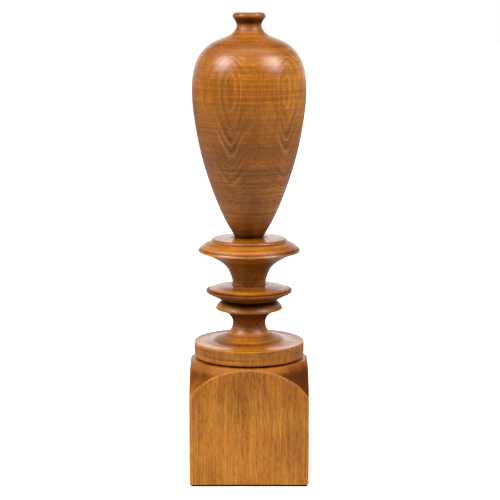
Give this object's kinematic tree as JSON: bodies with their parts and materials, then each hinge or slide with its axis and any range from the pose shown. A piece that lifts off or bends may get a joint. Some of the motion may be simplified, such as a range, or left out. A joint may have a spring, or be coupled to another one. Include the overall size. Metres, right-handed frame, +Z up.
{
  "type": "giant chess piece",
  "caption": "Giant turned wooden chess piece: a vase-shaped head on a collared, ringed stem, standing on a square block with turned shoulders.",
  "frame": {"origin": "centre of the felt pad's underside, on the turning axis", "axes": "+Z up along the turning axis; the front face of the block faces -Y; +X is to the right seen from the front"},
  "size_m": [0.152, 0.152, 0.597],
  "materials": {
    "head_wood": "honey-brown stain under satin lacquer, fine turning marks",
    "collar_wood": "honey-brown stain under satin lacquer",
    "ring_wood": "honey-brown stain under satin lacquer",
    "stem_wood": "honey-brown stain under satin lacquer",
    "block_wood": "honey-brown stain under satin lacquer, open pores along the grain",
    "dowel_wood": "bare fluted beech",
    "pad_felt": "black pressed felt",
    "zinc_steel": "bright zinc plate",
    "insert_brass": "plain turned brass"
  },
  "bodies": {
    "root": {"head_front_half": "head_wood", "head_back_half": "head_wood", "collar_front_half": "collar_wood", "collar_back_half": "collar_wood", "ring": "ring_wood", "stem_front_half": "stem_wood", "stem_back_half": "stem_wood", "block_front_half": "block_wood", "block_back_half": "block_wood", "base_pad": "pad_felt", "tie_rod": "zinc_steel", "rod_nut": "zinc_steel", "rod_washer": "zinc_steel", "head_insert": "insert_brass", "block_dowels": "dowel_wood"}
  },
  "joints": []
}
